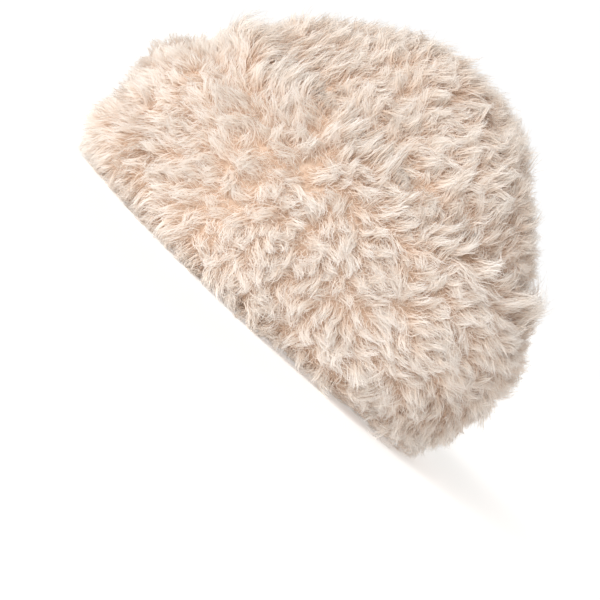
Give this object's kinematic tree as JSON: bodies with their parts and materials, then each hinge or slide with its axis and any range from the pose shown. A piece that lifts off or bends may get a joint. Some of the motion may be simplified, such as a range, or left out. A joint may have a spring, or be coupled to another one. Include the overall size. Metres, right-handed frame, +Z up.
{
  "type": "faux fur beanie",
  "caption": "Slouchy round beanie of deep-pile faux fur: a wide puffed-out band with a domed crown rising inside its top edge, open below for the head.",
  "frame": {"origin": "middle of the hat's outline, on the surface that its rim rests on", "axes": "+Z up out of the crown, -Y the way the wearer faces, +X the wearer's left"},
  "size_m": [0.2928, 0.3476, 0.2249],
  "materials": {
    "band_fur": "deep soft pile, pale cream tips over peach-tan underfur",
    "crown_fur": "deep soft pile, pale cream tips over peach-tan underfur"
  },
  "bodies": {
    "root": {"fur_band": "band_fur", "fur_crown": "crown_fur"}
  },
  "joints": []
}
